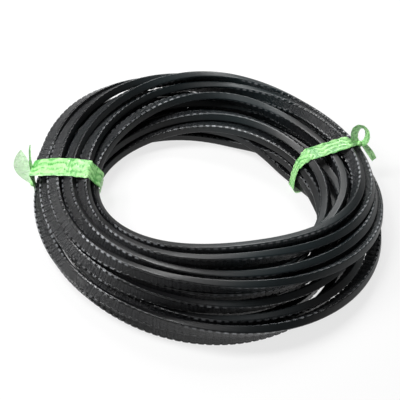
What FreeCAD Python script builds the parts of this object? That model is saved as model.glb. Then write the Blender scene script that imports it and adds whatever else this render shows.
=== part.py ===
import FreeCAD, Part

import math
import os

import Sketcher
from FreeCAD import Vector

# A loose coil of black U-section edge strip with a steel core, held by two ties of green film.
# The strip starts under the right tie, winds up in layers, and ends under the left tie on top.
# Each size is in millimetres, or in degrees where its words say so.
SIZES = {
    "strip_depth": (14.5, "strip, from its closed back to its lips"),
    "strip_width": (9.5, "strip, across its two legs"),
    "back_radius": (1.6, "strip, rounding of the closed back"),
    "back_wall": (4.0, "strip, wall of the closed back"),
    "leg_wall": (2.4, "strip, wall of each leg"),
    "mouth_gap": (2.6, "strip, gap between the two lips"),
    "lip_taper": (2.4, "strip, depth over which a leg thickens into its lip"),
    "core_thick": (0.5, "steel core, thickness of its bent band"),
    "core_clearance": (0.15, "steel core, room for it all round"),
    "core_in_leg": (0.9, "steel core, cover outside it in each leg"),
    "core_in_back": (2.4, "steel core, cover outside it in the back"),
    "core_to_lip": (1.4, "steel core, cover past the end of each leg"),
    "coil_radius": (203.0, "coil, outside radius"),
    "turns_in_layer": (4, "coil, turns side by side"),
    "layers": (4, "coil, layers of turns, 2 or 4"),
    "turn_gap": (0.5, "coil, least room between two turns"),
    "most_lean": (20.5, "coil, lean of the strip that the turns have room for, degrees"),
    "end_run": (14.5, "coil, straight run at each cut end"),
    "flat_cut": (0.5, "coil, how deep its underside is flattened"),
    "film_thick": (0.6, "ties, thickness of the gathered film"),
    "film_clearance": (0.35, "ties, room between the film and what it holds"),
    "band_corner": (3.0, "ties, rounding of a band's corners"),
    "tail_corner": (1.5, "ties, rounding of a cut tail's corners"),
    "left_azimuth": (171.0, "left tie, its place round the coil, degrees"),
    "left_band_width": (33.0, "left tie, width of the band"),
    "left_knot_radius": (5.0, "left tie, half the knot's width and height"),
    "left_knot_reach": (3.6, "left tie, half of what the knot stands out"),
    "left_knot_level": (14.0, "left tie, height of the knot"),
    "long_tail_length": (48.0, "left tie, length of the leaf-shaped tail"),
    "long_tail_width": (16.0, "left tie, width of the leaf-shaped tail"),
    "long_tail_lean": (22.0, "left tie, outward lean of the leaf-shaped tail, degrees"),
    "short_tail_length": (36.0, "left tie, length of the narrow tail"),
    "short_tail_width": (4.0, "left tie, width of the narrow tail"),
    "short_tail_level": (37.0, "left tie, height of the narrow tail's lower end"),
    "right_azimuth": (22.5, "right tie, its place round the coil, degrees"),
    "right_band_width": (20.0, "right tie, width of the band"),
    "right_knot_radius": (4.5, "right tie, half the knot's width and height"),
    "right_knot_reach": (3.2, "right tie, half of what the knot stands out"),
    "right_knot_level": (40.0, "right tie, height of the knot"),
    "loop_length": (26.0, "right tie, length of the flattened loop"),
    "loop_width": (12.0, "right tie, width of the film that makes the loop"),
    "loop_thick": (4.2, "right tie, thickness of the loop over both its sides"),
    "loop_corner": (1.6, "right tie, rounding of the loop's folds"),
    "loop_lean": (14.0, "right tie, outward lean of the loop, degrees"),
    "hanging_tail_length": (27.0, "right tie, length of the tail that hangs"),
    "hanging_tail_width": (9.0, "right tie, width of the tail that hangs"),
    "hanging_tail_lean": (16.0, "right tie, outward lean of the tail that hangs, degrees"),
}

# Values that follow from the sizes. A climbing turn passes its neighbour at three quarters of the pitch.
# Each climb leans the strip by the layer pitch over the climb's radius.
# The inner turn bulges towards the hole across a band's width, and the band's flat wall clears that bulge.
DERIVED = {
    "room_across": "sizes.strip_width * cos(sizes.most_lean) + sizes.strip_depth * sin(sizes.most_lean)",
    "room_up": "sizes.strip_depth * cos(sizes.most_lean) + sizes.strip_width * sin(sizes.most_lean)",
    "turn_pitch": "(room_across + sizes.turn_gap) / 0.75",
    "layer_pitch": "room_up + sizes.turn_gap",
    "outer_arm": "sizes.coil_radius - sizes.strip_width / 2",
    "inner_arm": "outer_arm - (sizes.turns_in_layer - 0.5) * turn_pitch",
    "climbs": "sizes.layers / 2 / inner_arm + (sizes.layers / 2 - 1) / outer_arm",
    "lean": "180 / pi * layer_pitch * climbs",
    "half_across": "(sizes.strip_width * cos(lean) + sizes.strip_depth * sin(lean)) / 2",
    "half_up": "(sizes.strip_depth * cos(lean) + sizes.strip_width * sin(lean)) / 2",
    "notch_depth": "sizes.film_thick + sizes.film_clearance",
    "first_level": "sizes.strip_depth / 2 - sizes.flat_cut",
    "top_level": "first_level + (sizes.layers - 1) * layer_pitch",
    "band_outside": "outer_arm + half_across + sizes.film_clearance + sizes.film_thick",
    "inner_face": "inner_arm - half_across",
    "left_band_inside": "sqrt(inner_face ^ 2 - (sizes.left_band_width / 2) ^ 2) - notch_depth",
    "right_band_inside": "sqrt(inner_face ^ 2 - (sizes.right_band_width / 2) ^ 2) - notch_depth",
    "band_top": "top_level + half_up + sizes.film_clearance + sizes.film_thick",
}


def fill_sheet(doc):
    """Writes the sizes as plain numbers, each with its alias."""
    sheet = doc.addObject("Spreadsheet::Sheet", "sizes")
    for row, (alias, (value, words)) in enumerate(SIZES.items(), start=1):
        sheet.set(f"A{row}", words)
        sheet.set(f"B{row}", str(value))
        sheet.setAlias(f"B{row}", alias)
    doc.recompute()
    return sheet


def derive(doc):
    """Binds the values that several pieces share, and leaves room for the shift to the box's middle."""
    fit = doc.addObject("App::VarSet", "fit")
    for name in ("shift_x", "shift_y"):
        fit.addProperty("App::PropertyFloat", name)
    for name, rule in DERIVED.items():
        fit.addProperty("App::PropertyFloat", name)
        fit.setExpression(name, rule)
    doc.recompute()
    return fit


def bind(thing, rules):
    """Binds properties of an object to expressions."""
    for name, rule in rules.items():
        thing.setExpression(name, str(rule))


# The strip's route and its sections


def round_axis(sheet, arm, half_turns, level=0.0):
    """The point at a distance from the coil's axis, half_turns on from where the strip starts."""
    angle = math.radians(sheet.right_azimuth) + math.pi * half_turns
    return Vector(arm * math.cos(angle), arm * math.sin(angle), level)


def half_turn(sheet, arm, step, half_turns, level, share=1.0):
    """A half turn, or a share of it, that goes from arm to arm + step about a centre off the axis."""
    centre = round_axis(sheet, -step / 2, half_turns, level)
    stops = (centre + round_axis(sheet, arm + step / 2, half_turns + share * k) for k in (0.0, 0.5, 1.0))
    return Part.Arc(*stops).toShape()


def arc_from_corner(first, corner, last):
    """The arc that leaves first towards corner and comes to last from it."""
    middle = (first + last) * 0.5
    half_angle = math.acos((last - first).Length / 2 / (corner - first).Length)
    rise = math.cos(half_angle) / (1 + math.cos(half_angle))
    return Part.Arc(first, middle + (corner - middle) * rise, last).toShape()


def climb(sheet, fit, arm, half_turns, level):
    """Two arcs that lift the strip by a layer in half a turn."""
    first = round_axis(sheet, arm, half_turns, level)
    last = round_axis(sheet, arm, half_turns + 1, level + fit.layer_pitch)
    reach = (last - first).Length / 2
    corner_a = first + round_axis(sheet, reach, half_turns + 0.5)
    corner_b = last - round_axis(sheet, reach, half_turns + 1.5)
    joint = (corner_a + corner_b) * 0.5
    return [arc_from_corner(first, corner_a, joint), arc_from_corner(joint, corner_b, last)]


def make_route(sheet, fit):
    """The strip's middle line: each layer spirals in or out by half turns, then climbs to the next."""
    layers, halves = int(sheet.layers), 2 * int(sheet.turns_in_layer) - 1
    last_share = (sheet.left_azimuth - sheet.right_azimuth) / 180.0
    arm, level, half_turns = fit.outer_arm, fit.first_level, 0
    begin = round_axis(sheet, arm, 0, level)
    edges = [Part.LineSegment(begin - round_axis(sheet, sheet.end_run, 0.5), begin).toShape()]
    for layer in range(layers):
        step = fit.turn_pitch / 2 if layer % 2 else -fit.turn_pitch / 2
        for half in range(halves):
            share = last_share if layer + 1 == layers and half + 1 == halves else 1.0
            edges.append(half_turn(sheet, arm, step, half_turns, level, share))
            arm += step
            half_turns += share
        if layer + 1 < layers:
            edges += climb(sheet, fit, arm, half_turns, level)
            level += fit.layer_pitch
            half_turns += 1
    end = edges[-1].lastVertex(True).Point
    edges.append(Part.LineSegment(end, end + round_axis(sheet, sheet.end_run, half_turns + 0.5)).toShape())
    return Part.Wire(edges)


def sides(points):
    """The straight sides from each point to the next, and from the last to the first."""
    return list(zip(points, points[1:] + points[:1], strict=True))


def both_legs(leg):
    """The (across, deep) points of one leg, then those of the other in the order round the section."""
    return leg + [(-across, deep) for across, deep in reversed(leg)]


def cover_section(sheet):
    """The U's outline: a rounded closed back, two legs, and lips that close in on the mouth."""
    half, radius, deep = sheet.strip_width / 2, sheet.back_radius, sheet.strip_depth
    lip, slot = sheet.mouth_gap / 2, half - sheet.leg_wall
    leg = [(half, radius), (half, deep), (lip, deep), (slot, deep - sheet.lip_taper), (slot, sheet.back_wall)]
    inset = radius * (1 - math.sqrt(0.5))
    left_corner = ((-half, radius), (-half + inset, inset), (-half + radius, 0))
    right_corner = ((half - radius, 0), (half - inset, inset), (half, radius))
    back = ((-half + radius, 0), (half - radius, 0))
    return sides(both_legs(leg))[:-1] + [left_corner, back, right_corner]


def core_section(sheet, room):
    """The steel band's U, or with room round it the cavity that it lies in."""
    outer, low = sheet.strip_width / 2 - sheet.core_in_leg, sheet.core_in_back
    inner, high = outer - sheet.core_thick, low + sheet.core_thick
    top = sheet.strip_depth - sheet.core_to_lip
    leg = [(outer + room, low - room), (outer + room, top + room)]
    leg += [(inner - room, top + room), (inner - room, high + room)]
    return sides(both_legs(leg))


def make_pipe(sheet, path, section):
    """The pipe that a section leaves along the route, with the U's mouth up, and its ideal volume."""
    back = path.OrderedVertexes[0].Point - Vector(0, 0, sheet.strip_depth / 2)
    outward = round_axis(sheet, 1.0, 0)
    edges = []
    for side in section:
        places = [back + outward * across + Vector(0, 0, deep) for across, deep in side]
        edges.append((Part.Arc if len(places) == 3 else Part.LineSegment)(*places).toShape())
    outline = Part.Wire(edges)
    pipe = Part.BRepOffsetAPI.MakePipeShell(path)
    pipe.add(outline)
    pipe.build()
    return pipe, Part.Face(outline).Area * path.Length


def solid_between(outer, inner):
    """The wall between two pipes, closed at each cut end by a flat ring."""
    faces = outer.shape().Faces + inner.shape().Faces
    for outside, inside in ((outer.firstShape(), inner.firstShape()), (outer.lastShape(), inner.lastShape())):
        faces += Part.Face(outside).cut(Part.Face(inside)).Faces
    shell = Part.Shell(faces)
    shell.sewShape()
    return Part.Solid(shell)


def flatten(sheet, fit, solid):
    """Cuts the flat underside, and the notches where the two bands pass underneath."""
    wide = 2 * (fit.band_outside + sheet.end_run)
    cutters = [Part.makeBox(wide, wide, fit.half_up, Vector(-wide / 2, -wide / 2, -fit.half_up))]
    for azimuth, band_width in (
        (sheet.left_azimuth, sheet.left_band_width),
        (sheet.right_azimuth, sheet.right_band_width),
    ):
        broad = band_width + 2 * sheet.film_clearance
        notch = Part.makeBox(wide / 2, broad, 2 * fit.notch_depth, Vector(0, -broad / 2, -fit.notch_depth))
        notch.rotate(Vector(), Vector(0, 0, 1), azimuth)
        cutters.append(notch)
    for cutter in cutters:
        solid = solid.cut(cutter)
    return solid.Solids[0]


# How near the strip comes to itself


def outlines_at(sheet, pipe, half_turns):
    """The corners of each section of a pipe in an upright plane through the coil's axis."""
    normal = round_axis(sheet, 1.0, half_turns + 0.5)
    return [[vertex.Point for vertex in wire.OrderedVertexes] for wire in pipe.shape().slice(normal, 0.0)]


def off_side(point, start, end):
    """How far a point is from a straight side."""
    along = end - start
    share = max(0.0, min(1.0, (point - start).dot(along) / along.dot(along)))
    return (point - start - along * share).Length


def gap(first, second):
    """The least distance from the corners of either outline to the sides of the other."""
    pairs = ((first, sides(second)), (second, sides(first)))
    return min(off_side(point, *side) for points, others in pairs for point in points for side in others)


def least_gap(sheet, pipe, planes):
    """The least gap between turns, over a number of planes, among turns that could touch."""
    reach = math.hypot(sheet.strip_depth, sheet.strip_width) + sheet.strip_width / 2
    gaps = []
    for k in range(planes):
        outlines = outlines_at(sheet, pipe, (k + 0.5) / planes)
        middles = [sum(points, Vector()) * (1 / len(points)) for points in outlines]
        for i, first in enumerate(outlines):
            near = (j for j in range(i) if (middles[i] - middles[j]).Length < reach)
            gaps += [gap(first, outlines[j]) for j in near]
    return min(gaps)


# The pieces of film


def film_block(doc, name, length, width, height, corner, x="0", z="0"):
    """A body whose first feature is a block, centred across Y, with its four edges along Y rounded."""
    body = doc.addObject("PartDesign::Body", name)
    block = body.newObject("PartDesign::AdditiveBox", f"{name}_block")
    bind(block, {"Length": length, "Width": width, "Height": height})
    bind(block, {"Placement.Base.x": x, "Placement.Base.y": f"-({width}) / 2", "Placement.Base.z": z})
    doc.recompute()
    fillet = body.newObject("PartDesign::Fillet", f"{name}_corners")
    headings = enumerate((edge.tangentAt(edge.FirstParameter) for edge in block.Shape.Edges), start=1)
    fillet.Base = (block, [f"Edge{i}" for i, heading in headings if abs(heading.y) > 0.5])
    bind(fillet, {"Radius": corner})
    doc.recompute()
    return body


def film_ring(doc, name, length, width, height, corner, x="0", z="0"):
    """A flat ring of film: a rounded block, hollowed from both its ends along Y."""
    body = film_block(doc, name, length, width, height, corner, x, z)
    block = body.Tip
    film = body.newObject("PartDesign::Thickness", f"{name}_film")
    faces = enumerate(block.Shape.Faces, start=1)
    film.Base = (block, [f"Face{i}" for i, face in faces if abs(face.normalAt(0, 0).y) > 0.5])
    film.Reversed = True
    bind(film, {"Value": "sizes.film_thick"})
    return body


def film_strip(doc, name, length, width):
    """A cut end of film that stands up from the middle of its lower edge."""
    return film_block(doc, name, width, "sizes.film_thick", length, "sizes.tail_corner", f"-({width}) / 2")


def film_leaf(doc, name, sheet):
    """A leaf of film, pointed at both ends, that stands up from the lower one."""
    body = doc.addObject("PartDesign::Body", name)
    upright_plane = next(plane for plane in body.Origin.OriginFeatures if plane.Role == "XZ_Plane")
    outline = body.newObject("Sketcher::SketchObject", f"{name}_outline")
    outline.AttachmentSupport = [(upright_plane, "")]
    outline.MapMode = "FlatFace"
    length, half = sheet.long_tail_length, sheet.long_tail_width / 2
    radius = (length**2 / 4 + half**2) / (2 * half)
    angle = math.asin(length / 2 / radius)
    for side, facing in ((1, 0.0), (-1, math.pi)):
        circle = Part.Circle(Vector(side * (half - radius), length / 2, 0), Vector(0, 0, 1), radius)
        outline.addGeometry(Part.ArcOfCircle(circle, facing - angle, facing + angle))
    bends = "(sizes.long_tail_length ^ 2 / 4 + sizes.long_tail_width ^ 2 / 4) / sizes.long_tail_width"
    start, end, foot, upright = 1, 2, (-1, 1), -2
    outline.addConstraint(Sketcher.Constraint("Coincident", 0, start, 1, end))
    outline.addConstraint(Sketcher.Constraint("Coincident", 0, end, 1, start))
    outline.addConstraint(Sketcher.Constraint("Coincident", 0, start, *foot))
    outline.addConstraint(Sketcher.Constraint("PointOnObject", 0, end, upright))
    tall = outline.addConstraint(Sketcher.Constraint("DistanceY", 0, start, 0, end, length))
    right = outline.addConstraint(Sketcher.Constraint("Radius", 0, radius))
    left = outline.addConstraint(Sketcher.Constraint("Radius", 1, radius))
    bind(outline, {f"Constraints[{tall}]": "sizes.long_tail_length"})
    bind(outline, {f"Constraints[{right}]": bends, f"Constraints[{left}]": bends})
    film = body.newObject("PartDesign::Pad", f"{name}_film")
    film.Profile = outline
    film.Midplane = True
    bind(film, {"Length": "sizes.film_thick"})
    return body


def film_knot(doc, name, side):
    """A tight knot of film, an egg that stands out from its band."""
    egg = doc.addObject("Part::Ellipsoid", name)
    bind(egg, {"Radius1": f"sizes.{side}_knot_radius", "Radius3": f"sizes.{side}_knot_radius"})
    bind(egg, {"Radius2": f"sizes.{side}_knot_reach"})
    return egg


def place(thing, azimuth="0", x="0", z="0", lean="0", twist="0"):
    """Twists a piece about Z, leans it outward, sets it at (x, z) and turns it to its azimuth."""
    in_tie = f"placement(vector({x}; 0; {z}); rotationy({lean}) * rotationz({twist}))"
    round_coil = f"placement(vector(fit.shift_x; fit.shift_y; 0); rotationz({azimuth}))"
    thing.setExpression("Placement", f"{round_coil} * {in_tie}")


def place_at_knot(thing, side, width, lean, way, twist="0"):
    """Places a tail whose foot is wide, just past its knot and clear of its band, above it or below it."""
    clear, level = "sizes.film_clearance", f"sizes.{side}_knot_level"
    x = f"fit.band_outside + {clear} + {width} / 2 * cos({lean})"
    z = f"{level} {way} (sizes.{side}_knot_radius + {clear} + {width} / 2 * sin({lean}))"
    turn = lean if way == "+" else f"180 - {lean}"
    place(thing, f"sizes.{side}_azimuth", x, z, turn, twist)


def make_band(doc, side):
    """The band of a tie: a flat ring round the whole section of the coil."""
    inside = f"fit.{side}_band_inside"
    sizes = (f"fit.band_outside - {inside}", f"sizes.{side}_band_width", "fit.band_top")
    band = film_ring(doc, f"{side}_tie_band", *sizes, "sizes.band_corner", inside)
    place(band, f"sizes.{side}_azimuth")
    return band


def make_knot(doc, side):
    knot = film_knot(doc, f"{side}_tie_knot", side)
    x = f"fit.band_outside + sizes.film_clearance + sizes.{side}_knot_reach"
    place(knot, f"sizes.{side}_azimuth", x, f"sizes.{side}_knot_level")
    return knot


def make_long_tail(doc, sheet):
    """The leaf-shaped tail, which leans out from the top of the left knot."""
    tail = film_leaf(doc, "left_tie_long_tail", sheet)
    past_knot = "(sizes.left_knot_radius + sizes.film_clearance)"
    knot_x = "fit.band_outside + sizes.film_clearance + sizes.left_knot_reach"
    x = f"{knot_x} + {past_knot} * sin(sizes.long_tail_lean)"
    z = f"sizes.left_knot_level + {past_knot} * cos(sizes.long_tail_lean)"
    place(tail, "sizes.left_azimuth", x, z, "sizes.long_tail_lean")
    return tail


def make_short_tail(doc):
    """The narrow tail, which stands up against the outer side of the left band."""
    tail = film_strip(doc, "left_tie_short_tail", "sizes.short_tail_length", "sizes.short_tail_width")
    x = "fit.band_outside + sizes.film_clearance + sizes.short_tail_width / 2"
    place(tail, "sizes.left_azimuth", x, "sizes.short_tail_level")
    return tail


def make_loop(doc):
    """The flattened loop, which stands up from the right knot."""
    sizes = ("sizes.loop_thick", "sizes.loop_width", "sizes.loop_length", "sizes.loop_corner")
    loop = film_ring(doc, "right_tie_loop", *sizes, "-sizes.loop_thick / 2")
    place_at_knot(loop, "right", "sizes.loop_width", "sizes.loop_lean", "+", "90")
    return loop


def make_hanging_tail(doc):
    """The tail that hangs from the right knot."""
    tail = film_strip(doc, "right_tie_tail", "sizes.hanging_tail_length", "sizes.hanging_tail_width")
    place_at_knot(tail, "right", "sizes.hanging_tail_width", "sizes.hanging_tail_lean", "-")
    return tail


def add_shape(doc, name, shape):
    piece = doc.addObject("Part::Feature", name)
    piece.Shape = shape
    place(piece)
    return piece


def middle_of_box(doc, pieces):
    """The middle of the whole box, seen from above, on the points of a fine mesh."""
    doc.recompute()
    points = [point for piece in pieces for point in piece.Shape.tessellate(0.5)[0]]
    return [(min(ways) + max(ways)) / 2 for ways in ([p.x for p in points], [p.y for p in points])]


doc = FreeCAD.newDocument("edge_strip_coil")
sheet = fill_sheet(doc)
fit = derive(doc)

path = make_route(sheet, fit)
arcs = [edge.Curve.Radius for edge in path.Edges if isinstance(edge.Curve, Part.Circle)]
print(f"strip {path.Length:.1f} mm long, arcs of radius {min(arcs):.1f} to {max(arcs):.1f} mm")

outside, outside_volume = make_pipe(sheet, path, cover_section(sheet))
cavity, cavity_volume = make_pipe(sheet, path, core_section(sheet, sheet.core_clearance))
core, core_volume = make_pipe(sheet, path, core_section(sheet, 0.0))
core.makeSolid()
cover = solid_between(outside, cavity)
print(f"cover: volume is {cover.Volume / (outside_volume - cavity_volume):.4f} of section times length")
print(f"core: volume is {core.shape().Volume / core_volume:.4f} of section times length")
print(f"least gap of the coil to itself {least_gap(sheet, outside, 12):.2f} mm")
print(f"the strip leans {fit.lean:.1f} degrees on top, and has room for {sheet.most_lean:.1f}")

pieces = [
    add_shape(doc, "strip_cover", flatten(sheet, fit, cover)),
    add_shape(doc, "strip_core", core.shape()),
    make_band(doc, "left"),
    make_knot(doc, "left"),
    make_long_tail(doc, sheet),
    make_short_tail(doc),
    make_band(doc, "right"),
    make_knot(doc, "right"),
    make_loop(doc),
    make_hanging_tail(doc),
]
middle_x, middle_y = middle_of_box(doc, pieces)
fit.shift_x, fit.shift_y = -middle_x, -middle_y
doc.recompute()
print(f"the coil's axis is at {fit.shift_x:.2f}, {fit.shift_y:.2f} mm")

for thing in doc.Objects:
    if {"Invalid", "Error"} & set(thing.State):
        raise RuntimeError(f"{thing.Label} was left failed")
for piece in pieces:
    if piece.Shape.isNull() or not piece.Shape.isValid() or len(piece.Shape.Solids) != 1:
        raise RuntimeError(f"{piece.Label} isn't one valid solid")

os.makedirs("parts", exist_ok=True)
for piece in pieces:
    piece.Shape.exportStep(f"parts/{piece.Label}.step")
    print(f"{piece.Label}: {piece.Shape.Volume / 1000:.2f} cm3")
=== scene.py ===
import math

import bpy
import numpy as np
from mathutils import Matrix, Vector, noise


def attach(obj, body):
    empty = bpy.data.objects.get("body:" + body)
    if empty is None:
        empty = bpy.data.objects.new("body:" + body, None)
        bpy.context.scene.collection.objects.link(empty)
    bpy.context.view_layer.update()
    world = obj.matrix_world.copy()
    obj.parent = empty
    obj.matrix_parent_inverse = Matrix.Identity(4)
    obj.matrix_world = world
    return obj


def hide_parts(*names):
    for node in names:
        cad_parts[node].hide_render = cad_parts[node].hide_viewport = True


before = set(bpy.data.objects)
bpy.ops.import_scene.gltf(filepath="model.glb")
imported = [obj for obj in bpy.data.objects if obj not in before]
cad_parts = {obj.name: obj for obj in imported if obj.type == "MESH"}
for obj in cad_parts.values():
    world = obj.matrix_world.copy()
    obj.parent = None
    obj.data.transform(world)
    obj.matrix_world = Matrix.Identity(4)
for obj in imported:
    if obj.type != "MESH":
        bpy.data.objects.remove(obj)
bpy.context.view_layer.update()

# A loose coil of black U-section edge strip, held by two ties of thin green film.
# Lengths are in metres and angles in radians, unless a name or a comment says millimetres or degrees.
MM = 0.001

# The strip and the way it is wound, as the CAD model has them
STRIP_DEPTH = 0.0145
STRIP_WIDTH = 0.0095
BACK_RADIUS = 0.0016
BACK_WALL = 0.0040
LEG_WALL = 0.0024
MOUTH_GAP = 0.0026
LIP_TAPER = 0.0024
COIL_RADIUS = 0.203
TURNS_IN_LAYER = 4
LAYERS = 4
TURN_GAP = 0.0005
MOST_LEAN = math.radians(20.5)
FIRST_RUN = 0.008
FLAT_CUT = 0.0005
RIGHT_AZIMUTH = math.radians(22.5)
LEFT_AZIMUTH = math.radians(171)
AXIS = Vector((0.01036, 0.00144, 0))
ROOM_ACROSS = STRIP_WIDTH * math.cos(MOST_LEAN) + STRIP_DEPTH * math.sin(MOST_LEAN)
ROOM_UP = STRIP_DEPTH * math.cos(MOST_LEAN) + STRIP_WIDTH * math.sin(MOST_LEAN)
# A turn that is halfway up to the next layer stands this share of the pitch from its neighbour.
CLIMB_SHARE = 0.75
TURN_PITCH = (ROOM_ACROSS + TURN_GAP) / CLIMB_SHARE
LAYER_PITCH = ROOM_UP + TURN_GAP
OUTER_ARM = COIL_RADIUS - STRIP_WIDTH / 2
SPIRAL_HALVES = 2 * TURNS_IN_LAYER - 1
INNER_ARM = OUTER_ARM - SPIRAL_HALVES * TURN_PITCH / 2
FIRST_LEVEL = STRIP_DEPTH / 2 - FLAT_CUT
TOP_LEVEL = FIRST_LEVEL + (LAYERS - 1) * LAYER_PITCH
POINTS_PER_HALF = 14

# The bundle's own outline, looser and higher at the front than at the ties. Each row has, in degrees and
# millimetres: azimuth, inside radius low and high, outside radius low and high, height inside and outside.
BUNDLE = (
    (0, 128, 126, 202, 200, 52, 54),
    (22, 116, 116, 198, 197, 42, 44),
    (60, 108, 108, 184, 181, 46, 55),
    (95, 120, 120, 197, 200, 48, 68),
    (118, 132, 132, 212, 240, 48, 76),
    (132, 140, 140, 218, 242, 48, 70),
    (150, 150, 147, 220, 222, 44, 50),
    (171, 137, 133, 206, 204, 43, 43),
    (200, 128, 124, 200, 196, 60, 48),
    (240, 129, 118, 194, 184, 78, 42),
    (272, 124, 103, 221, 196, 90, 34),
    (305, 126, 111, 244, 209, 90, 36),
    (335, 137, 132, 220, 203, 70, 46),
)
# Room for about half a section at the bundle's edge, and how much less above and below, in millimetres
SECTION_MARGIN = 6.0
LESS_MARGIN = 1.0
# The ties' hold on the strands fades out over this angle to each side.
TIE_REACH = math.radians(45)
# How far the strands wander and stagger, as shares of half the bundle, and roll, in degrees
WANDER = 0.28
STAGGER = 0.16
ROLL_WANDER = 20
# The waves of that wandering. Each has a rate and a number that sets its size and its start.
IN_AND_OUT = ((1.3, 1.1), (2.1, 4.0), (0.7, 2.2))
UP_AND_DOWN = ((1.1, 2.7), (1.9, 5.2), (0.9, 0.9))
ROLLING = ((1.7, 0.6), (2.3, 3.3), (0.6, 5.0))
WAVE_SHIFT = 7
WAVE_SIZE = 1.6
# The bundle's section turns by this angle over the first span of azimuth, and back over the second.
# Azimuths are counted on from the seam. All are in degrees.
TWIST_ANGLE = 75
TWIST_STARTS, TWIST_ENDS = (300, 378), (432, 500)
TWIST_SEAM = 200

# How the strands settle. Each step presses them apart this often.
SETTLE_STEPS = 700
PRESSES_IN_STEP = 2
# Half sizes of a section, the gap to its neighbours and its drop in a step, in millimetres
HALF_DEEP = STRIP_DEPTH / MM / 2
HALF_WIDE = STRIP_WIDTH / MM / 2
LOOSE_GAP = 0.15
DROP = 0.05
# The share of the way to its wanted place or roll that a point goes in a step, with more at a tie
LOOSE_PULL = 0.012
TIE_PULL = 0.02
ROLL_PULL = 0.02
# A point moves by the mean of its pushes times this, but never by more than their sum.
PUSH = 1.3
# A push that leans from square to a face by more than one over this acts at a corner.
FLAT_CONTACT = 4
# A push times its lever, in square millimetres, over this is the turn in radians, which has a limit.
TURN_RESISTANCE = 60
MOST_TURN = 0.05
SMOOTHING = 0.45
# Where strands seem more than this many millimetres apart, each is drawn in by this share of the rest.
MOST_SPACING = 9.5
GAP_SHARE = 0.12


def smooth_step(x):
    """0 below 0, 1 above 1, and an even ease between."""
    x = np.clip(x, 0.0, 1.0)
    return x * x * (3 - 2 * x)


def turned_from(azimuth, tie):
    """How far an azimuth lies from a tie, within half a turn each way."""
    return (azimuth - tie + math.pi) % math.tau - math.pi


def running_length(points):
    """The length of a line of points at each of them."""
    return np.concatenate(([0], np.cumsum(np.linalg.norm(np.diff(points, axis=0), axis=1))))


def unit(vectors):
    """Each row at a length of one."""
    return vectors / np.linalg.norm(vectors, axis=1)[:, None]


# The strip's lay in the bundle


def wound_points():
    """The strip as it is wound: azimuth, distance from the axis and height, at even steps of azimuth."""
    rows = []
    arm, level, halves = OUTER_ARM, FIRST_LEVEL, 0
    for layer in range(LAYERS):
        step = TURN_PITCH / 2 if layer % 2 else -TURN_PITCH / 2
        for half in range(SPIRAL_HALVES + 1):
            climbs = half == SPIRAL_HALVES
            for k in range(POINTS_PER_HALF):
                share = (1 - math.cos(math.pi * k / POINTS_PER_HALF)) / 2
                out = 0 if climbs else step * share
                up = LAYER_PITCH * share if climbs else 0
                azimuth = RIGHT_AZIMUTH + math.pi * (halves + k / POINTS_PER_HALF)
                rows.append((azimuth, arm + out, level + up))
            arm += 0 if climbs else step
            level += LAYER_PITCH if climbs else 0
            halves += 1
    last = LEFT_AZIMUTH + math.pi * (2 * TURNS_IN_LAYER * LAYERS - 2)
    return np.array([row for row in rows if row[0] <= last])


def round_the_bundle(azimuth):
    """The bundle's outline at each azimuth, from its rows, on one smooth closed curve."""
    stops = np.array([row[0] for row in BUNDLE], float)
    values = np.array([row[1:] for row in BUNDLE], float)
    degrees = np.degrees(azimuth) % 360
    after = np.searchsorted(stops, degrees, side="right")
    one, two = (after - 1) % len(stops), after % len(stops)
    zero, three = (one - 1) % len(stops), (two + 1) % len(stops)
    span = (stops[two] - stops[one]) % 360
    x = (((degrees - stops[one]) % 360) / span)[:, None]
    slope_one = (values[two] - values[zero]) / ((stops[two] - stops[zero]) % 360)[:, None] * span[:, None]
    slope_two = (values[three] - values[one]) / ((stops[three] - stops[one]) % 360)[:, None] * span[:, None]
    rise = values[two] - values[one]
    return values[one] + slope_one * x + (3 * rise - 2 * slope_one - slope_two) * x**2 + (
        slope_one + slope_two - 2 * rise
    ) * x**3


def turn_square(u, v, angle):
    """Turns points of a square about its middle, by way of the disc, so that they stay in the square."""
    x, y = u * np.sqrt(1 - v * v / 2), v * np.sqrt(1 - u * u / 2)
    x, y = x * np.cos(angle) - y * np.sin(angle), x * np.sin(angle) + y * np.cos(angle)
    root = 2 * math.sqrt(2)
    d = x * x - y * y
    u = (np.sqrt(np.maximum(2 + root * x + d, 0)) - np.sqrt(np.maximum(2 - root * x + d, 0))) / 2
    v = (np.sqrt(np.maximum(2 + root * y - d, 0)) - np.sqrt(np.maximum(2 - root * y - d, 0))) / 2
    return u, v


def tie_nearness(azimuth):
    """1 at a tie, falling to 0 where the strands lie loose."""
    near = np.zeros_like(azimuth)
    for tie in (LEFT_AZIMUTH, RIGHT_AZIMUTH):
        near = np.maximum(near, 1 - smooth_step(np.abs(turned_from(azimuth, tie)) / TIE_REACH))
    return near


def slow_wander(halves, waves):
    """A smooth irregular value along the strip, between about -1 and 1."""
    return sum(math.sin(p) * np.sin(halves * f + WAVE_SHIFT * p) for f, p in waves) / WAVE_SIZE


def twist_at(azimuth):
    """How far the bundle's section is turned: the strands cross at the front right and again at the back."""
    degrees = (np.degrees(azimuth) - TWIST_SEAM) % 360 + TWIST_SEAM
    on = smooth_step((degrees - TWIST_STARTS[0]) / (TWIST_STARTS[1] - TWIST_STARTS[0]))
    off = smooth_step((degrees - TWIST_ENDS[0]) / (TWIST_ENDS[1] - TWIST_ENDS[0]))
    return math.radians(TWIST_ANGLE) * (on - off)


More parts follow.
